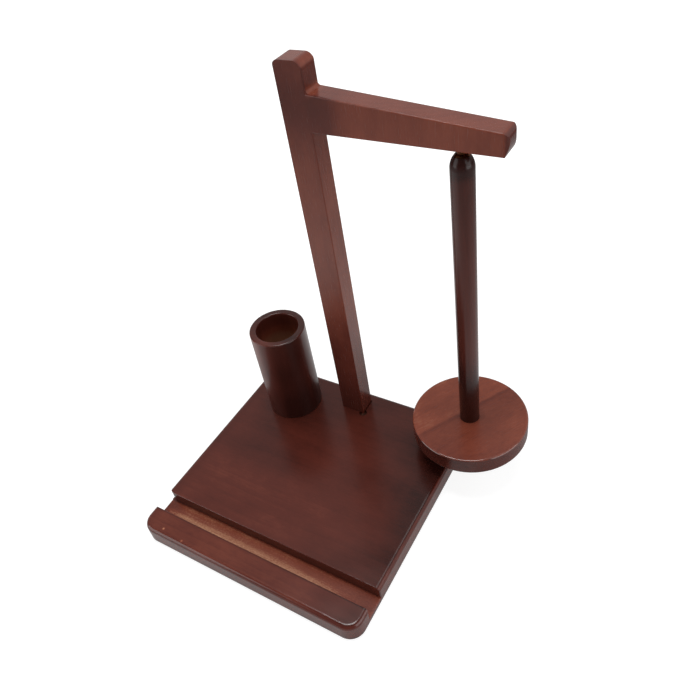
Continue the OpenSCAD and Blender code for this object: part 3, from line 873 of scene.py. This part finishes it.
class YARNHOLDER_OT_stage(bpy.types.Operator):
    """Lays the floor, sets the light and places the camera"""
    bl_idname = "yarn_holder.stage"
    bl_label = "Stage"

    FLOOR_SIZE = 30.0
    SHADE = 0.3
    # The floor's painted pool of light as the lacquer mirrors it, by the distance from the stand's
    # middle in metres
    MIRRORED = ((0.13, 0.33), (0.2, 0.68), (0.32, 0.45), (0.48, 0.22), (0.7, 0.03))
    FAR_LEFT = (-0.8, 0.6, 0)
    FRONT_RIGHT = (0.6, -0.8, 0)
    # Painted shadow of the disc on the floor, seen only in the lacquer: its middle and half sizes
    # in metres
    DISC_SHADOW = (0.158, 0.085, 0)
    DISC_SHADOW_SIZE = (0.035, 0.065, 1)
    # Light of the room's rear, from level to straight up, and of its front
    REAR = ((0.0, 0.6), (0.45, 0.75), (0.7, 0.45), (1.0, 0.42))
    FRONT = 0.2
    # Place in metres, width, height and watts; a tilted one faces the stand's lower half
    SOFTBOXES = {
        "Softbox_over": ((-0.04, 0.03, 1.3), 0.68, 0.35, 9.5),
        "Softbox_back": ((0.2, 0.6, 1.3), 0.5, 0.4, 2.0),
        "Softbox_left": ((-1.1, -1.0, 0.6), 1.1, 1.1, 10.0),
        "Softbox_right": ((1.4, -0.1, 0.5), 1.2, 1.2, 11.0),
    }
    TILTED = ("Softbox_left", "Softbox_right")
    AIM = Vector((0.0, 0.0, 0.12))
    NEAR_CLIP = 0.01

    def execute(self, context):
        stage = context.scene.yarn_holder_stage
        self.lay_floor(stage)
        self.light_room(context)
        self.place_camera(context, stage)
        context.scene.view_settings.view_transform = "Standard"
        return {"FINISHED"}

    def lay_floor(self, stage):
        """White paper: clean white to the camera but for a soft shadow. The lacquer mirrors it with
        a painted pool of light round the stand and a painted shadow below the disc.
        """
        bpy.ops.object.select_all(action="DESELECT")
        bpy.ops.mesh.primitive_plane_add(size=self.FLOOR_SIZE)
        floor = bpy.context.object
        floor.name = "Floor"
        material, tree, out = new_material("White_paper_floor")
        spot = add(tree, "TexCoord").outputs["Object"]
        away = add(tree, "VectorMath", {0: spot}, operation="LENGTH").outputs["Value"]
        way = add(tree, "VectorMath", {0: spot}, operation="NORMALIZE")
        right = add(tree, "SeparateXYZ", {0: way}).outputs["X"]
        far_left, front_right = (
            add(tree, "VectorMath", {0: way, 1: side}, operation="DOT_PRODUCT").outputs["Value"]
            for side in (self.FAR_LEFT, self.FRONT_RIGHT))
        # Painted light of the floor in the lacquer by direction: a little dimmer to the right, much
        # dimmer far left and past 0.2 m to the front right
        level = layered(tree, 1.05, [
            (right, -0.1), (mask(tree, (far_left, 0.88, 0.98)), -0.6),
            (mask(tree, (front_right, 0.4, 0.9), (away, 0.14, 0.2)), -0.6)])
        # Painted shadow of the disc in that light
        by_disc = add(tree, "Mapping", {
            "Vector": spot, "Location": self.DISC_SHADOW, "Scale": self.DISC_SHADOW_SIZE},
            vector_type="TEXTURE")
        from_disc = add(tree, "VectorMath", {0: by_disc}, operation="LENGTH").outputs["Value"]
        out_of_disc_shadow = layered(tree, 0.2, [(mask(tree, (from_disc, 0.85, 1.4)), 0.8)])
        mirrored_light_pool = add(tree, "ValToRGB", {"Fac": away}, stops=[
            (distance, grey(light)) for distance, light in self.MIRRORED])
        lift = add(tree, "MapRange", {
            "Value": away, "From Min": 0.2, "From Max": 0.5, "To Min": 0.86, "To Max": 1.0})
        strength = add(tree, "Mix", {
            0: add(tree, "LightPath").outputs["Is Camera Ray"],
            2: mask(tree, mirrored_light_pool, level, out_of_disc_shadow), 3: lift})
        tone = rgba(stage.floor_tone)
        glow = add(tree, "Emission", {"Color": WHITE, "Strength": strength})
        bounced = add(tree, "BsdfDiffuse", {"Color": tone})
        shaded = add(tree, "BsdfDiffuse", {"Color": tuple(self.SHADE * c for c in tone)})
        shown = add(tree, "AddShader", {0: shaded, 1: glow})
        mixed = add(tree, "MixShader", {0: seen_directly(tree), 1: bounced, 2: shown})
        tree.links.new(mixed.outputs["Shader"], out.inputs["Surface"])
        floor.data.materials.append(material)

    def light_room(self, context):
        """A pale room, lighter at the rear and white to the camera, with four softboxes."""
        world = bpy.data.worlds.new("Studio")
        context.scene.world = world
        world.use_nodes = True
        tree = world.node_tree
        tree.nodes.clear()
        out = add(tree, "OutputWorld")
        way = add(tree, "SeparateXYZ", {0: add(tree, "TexCoord").outputs["Generated"]}).outputs
        rear = add(tree, "ValToRGB", {"Fac": way["Z"]}, stops=[
            (rise, grey(light)) for rise, light in self.REAR])
        walls = add(tree, "Mix", {
            0: mask(tree, (way["Y"], -0.3, 0.4)), 6: rgba(grey(self.FRONT)), 7: rear},
            data_type="RGBA").outputs[2]
        room = add(tree, "Background", {"Color": walls, "Strength": 1.0})
        white = add(tree, "Background", {"Color": WHITE, "Strength": 1.0})
        direct = add(tree, "LightPath").outputs["Is Camera Ray"]
        mixed = add(tree, "MixShader", {0: direct, 1: room, 2: white})
        tree.links.new(mixed.outputs["Shader"], out.inputs["Surface"])
        for name, (place, wide, high, watts) in self.SOFTBOXES.items():
            lamp = bpy.data.lights.new(name, "AREA")
            lamp.shape = "RECTANGLE"
            lamp.size, lamp.size_y, lamp.energy = wide, high, watts
            stand = bpy.data.objects.new(name, lamp)
            context.scene.collection.objects.link(stand)
            stand.location = place
            if name in self.TILTED:
                beam = self.AIM - Vector(place)
                stand.rotation_euler = beam.to_track_quat("-Z", "Y").to_euler()

    def place_camera(self, context, stage):
        """Sets the camera by its angles round the point that it looks at."""
        lens = bpy.data.cameras.new("Photo_camera")
        lens.sensor_width = SENSOR_MM
        lens.lens = stage.focal_pixels / PHOTO_PIXELS * SENSOR_MM
        lens.clip_start = self.NEAR_CLIP
        camera = bpy.data.objects.new("Photo_camera", lens)
        context.scene.collection.objects.link(camera)
        level = math.cos(stage.elevation)
        back = Vector((
            math.sin(stage.azimuth) * level, -math.cos(stage.azimuth) * level,
            math.sin(stage.elevation)))
        right = Vector((0, 0, 1)).cross(back).normalized()
        up = back.cross(right)
        sideways = right * math.cos(stage.roll) + up * math.sin(stage.roll)
        upwards = up * math.cos(stage.roll) - right * math.sin(stage.roll)
        pose = Matrix((sideways, upwards, back)).transposed().to_4x4()
        pose.translation = Vector(stage.target) + back * stage.distance
        camera.matrix_world = pose
        context.scene.camera = camera


class YARNHOLDER_PT_panel(bpy.types.Panel):
    """Yarn holder's sizes, colours and steps"""
    bl_idname = "YARNHOLDER_PT_panel"
    bl_label = "Yarn Ball Holder"
    bl_space_type = "VIEW_3D"
    bl_region_type = "UI"
    bl_category = "Yarn Holder"

    def draw(self, context):
        scene = context.scene
        for group in (scene.yarn_holder_wood, scene.yarn_holder_fittings, scene.yarn_holder_stage):
            for name in group.__annotations__:
                self.layout.prop(group, name)
        for step in STEPS:
            self.layout.operator(step.bl_idname)


STEPS = (
    YARNHOLDER_OT_stage, YARNHOLDER_OT_boards, YARNHOLDER_OT_turnings, YARNHOLDER_OT_pivot,
    YARNHOLDER_OT_screws, YARNHOLDER_OT_feet, YARNHOLDER_OT_bead)
CLASSES = (YarnHolderWood, YarnHolderFittings, YarnHolderStage, *STEPS, YARNHOLDER_PT_panel)


def register():
    """Makes the classes and their properties known."""
    for cls in CLASSES:
        bpy.utils.register_class(cls)
    bpy.types.Scene.yarn_holder_wood = bpy.props.PointerProperty(type=YarnHolderWood)
    bpy.types.Scene.yarn_holder_fittings = bpy.props.PointerProperty(type=YarnHolderFittings)
    bpy.types.Scene.yarn_holder_stage = bpy.props.PointerProperty(type=YarnHolderStage)


def unregister():
    """Takes the properties and classes away again."""
    del bpy.types.Scene.yarn_holder_stage
    del bpy.types.Scene.yarn_holder_fittings
    del bpy.types.Scene.yarn_holder_wood
    for cls in reversed(CLASSES):
        bpy.utils.unregister_class(cls)


def main():
    """Registers the classes and runs every step in order."""
    register()
    for step in STEPS:
        group, action = step.bl_idname.split(".")
        getattr(getattr(bpy.ops, group), action)()


if __name__ == "__main__":
    main()
